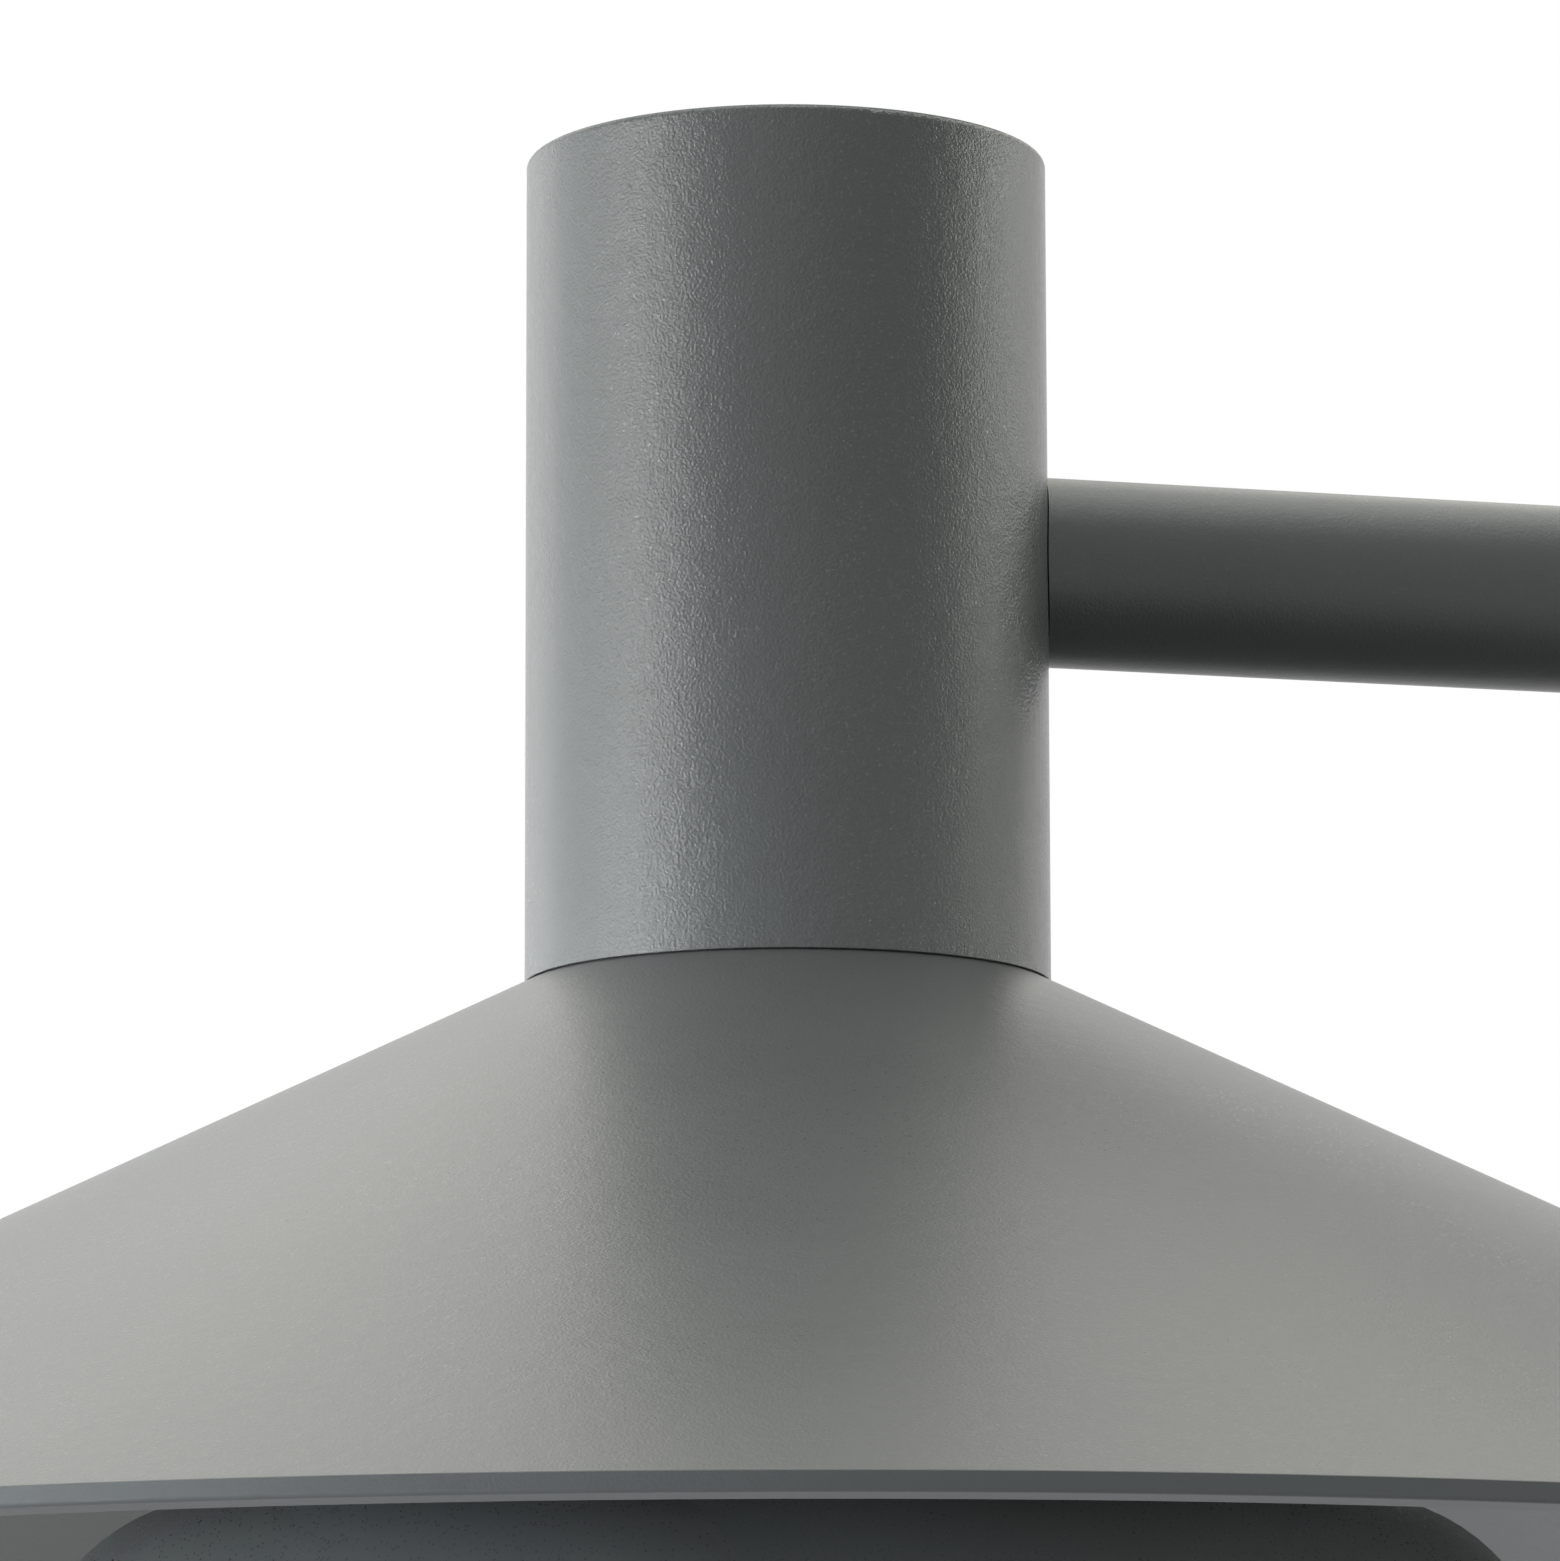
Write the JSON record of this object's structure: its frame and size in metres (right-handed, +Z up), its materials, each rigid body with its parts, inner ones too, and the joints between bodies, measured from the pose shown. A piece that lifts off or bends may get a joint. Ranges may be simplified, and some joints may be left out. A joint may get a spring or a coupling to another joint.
{
  "type": "post light",
  "caption": "Low post light: a round post carries a cylindrical can on a horizontal arm, with a wide conical shade and a round downward light unit.",
  "frame": {"origin": "centre of the base plate's underside, on the post's axis", "axes": "+Z up along the post, the head and its arm point to -X, the door faces -Y"},
  "size_m": [0.575, 0.35, 1],
  "materials": {
    "powder_graphite": "matte",
    "powder_dark": "satin",
    "cast_aluminium": "satin",
    "zinc_steel": "satin",
    "screw_steel": "satin",
    "rubber_black": "matte",
    "opal_plastic": "satin",
    "white_plastic": "satin",
    "board_white": "satin",
    "emitter_yellow": "gloss",
    "brass": "satin",
    "lead_blue": "satin"
  },
  "bodies": {
    "root": {"head_can": "powder_graphite", "shade": "powder_graphite", "arm_tube": "powder_graphite", "post_tube": "powder_graphite", "post_cap": "powder_graphite", "door": "powder_graphite", "base_plate": "powder_graphite", "foot_weld": "powder_graphite", "led_housing": "powder_dark", "bezel": "powder_dark", "neck": "cast_aluminium", "can_plug": "cast_aluminium", "arm_bush_head": "cast_aluminium", "arm_bush_post": "cast_aluminium", "saddle_head": "cast_aluminium", "saddle_post": "cast_aluminium", "nipple_head": "zinc_steel", "nipple_post": "zinc_steel", "arm_nuts": "zinc_steel", "door_frame": "zinc_steel", "gear_lugs": "zinc_steel", "gear_plate": "zinc_steel", "earth_washers": "zinc_steel", "neck_screws": "screw_steel", "housing_screws": "screw_steel", "board_screws": "screw_steel", "bezel_screws": "screw_steel", "cap_screws": "screw_steel", "door_screws": "screw_steel", "gear_screws": "screw_steel", "driver_screws": "screw_steel", "seam_gasket": "rubber_black", "neck_gasket": "rubber_black", "cable_grommet": "rubber_black", "diffuser_seal": "rubber_black", "lamp_cable": "rubber_black", "cap_seal": "rubber_black", "door_seal": "rubber_black", "entry_grommet": "rubber_black", "diffuser": "opal_plastic", "reflector": "white_plastic", "board_connector": "white_plastic", "led_driver": "white_plastic", "terminal_block": "white_plastic", "led_board": "board_white", "led_chips": "emitter_yellow", "earth_stud": "brass", "earth_nuts": "brass", "driver_leads": "lead_blue"}
  },
  "joints": []
}
